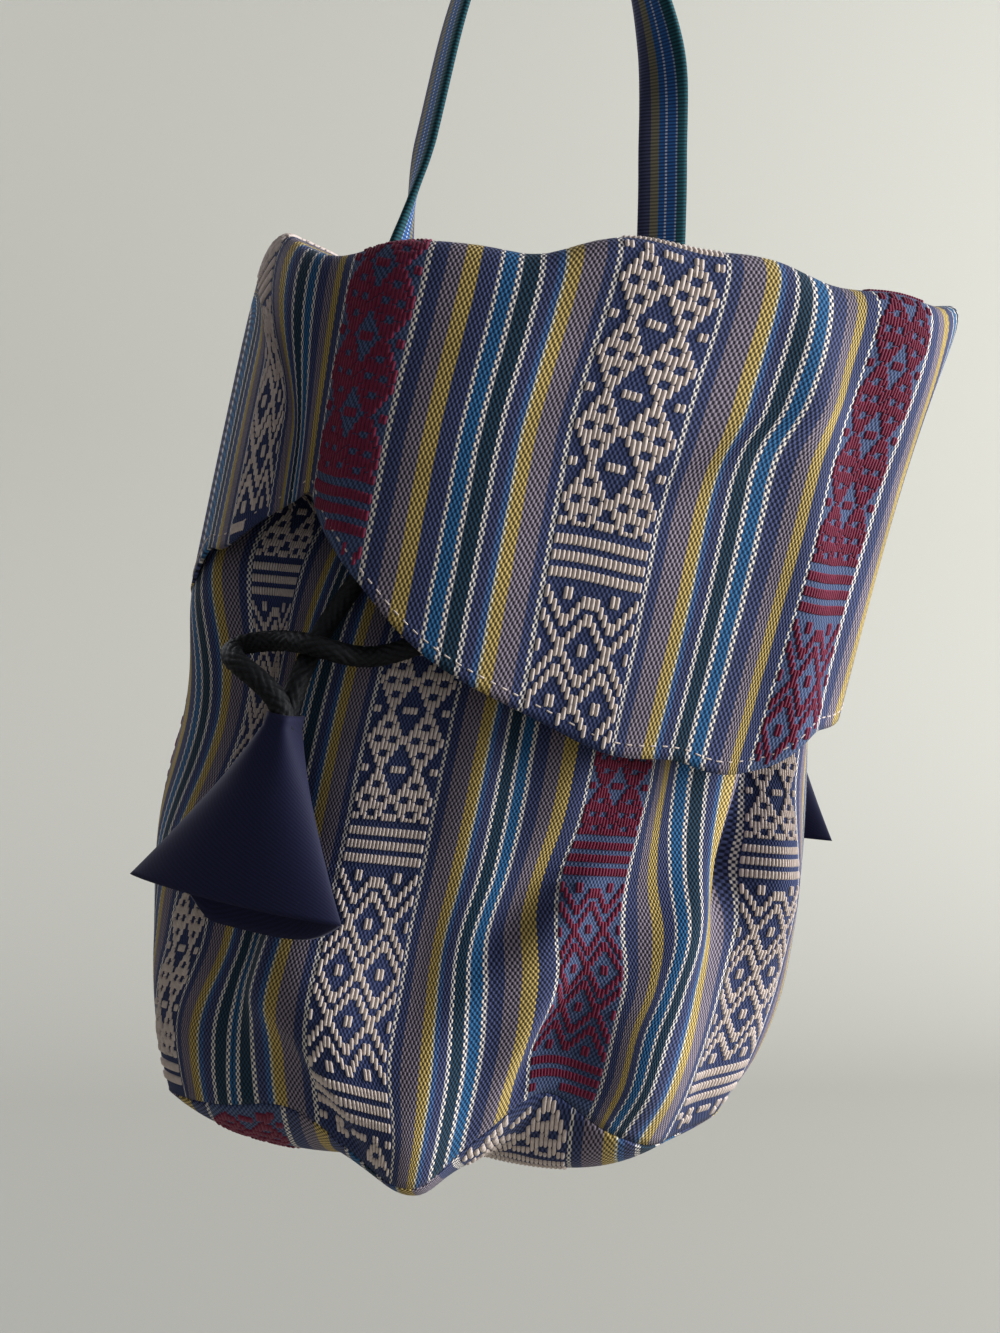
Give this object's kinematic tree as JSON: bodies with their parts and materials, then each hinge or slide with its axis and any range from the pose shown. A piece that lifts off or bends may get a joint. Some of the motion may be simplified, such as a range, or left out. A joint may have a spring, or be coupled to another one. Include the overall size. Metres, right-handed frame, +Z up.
{
  "type": "drawstring bag",
  "caption": "Small slack bag of striped woven cotton, gathered at the neck by cords with cotton cones, covered by a wide lined flap and hung by a strap.",
  "frame": {"origin": "inner top of the strap's loop, the point the bag hangs from", "axes": "+Z up along the hanging bag, -Y out of its front, +X to the right seen from the front"},
  "size_m": [0.2102, 0.1167, 0.3486],
  "materials": {
    "striped_cotton": "matte woven, warp stripes",
    "lining_cotton": "matte plain weave",
    "strap_cotton": "matte woven, lengthwise stripes",
    "braided_cord": "braided, slight sheen",
    "cone_cotton": "matte plain weave"
  },
  "bodies": {
    "root": {"front_panel": "striped_cotton", "back_panel": "striped_cotton", "base_panel": "striped_cotton", "flap": "striped_cotton", "flap_lining": "lining_cotton", "carry_strap": "strap_cotton", "drawcord_left": "braided_cord", "drawcord_right": "braided_cord", "cord_end_left": "cone_cotton", "cord_end_right": "cone_cotton"}
  },
  "joints": []
}
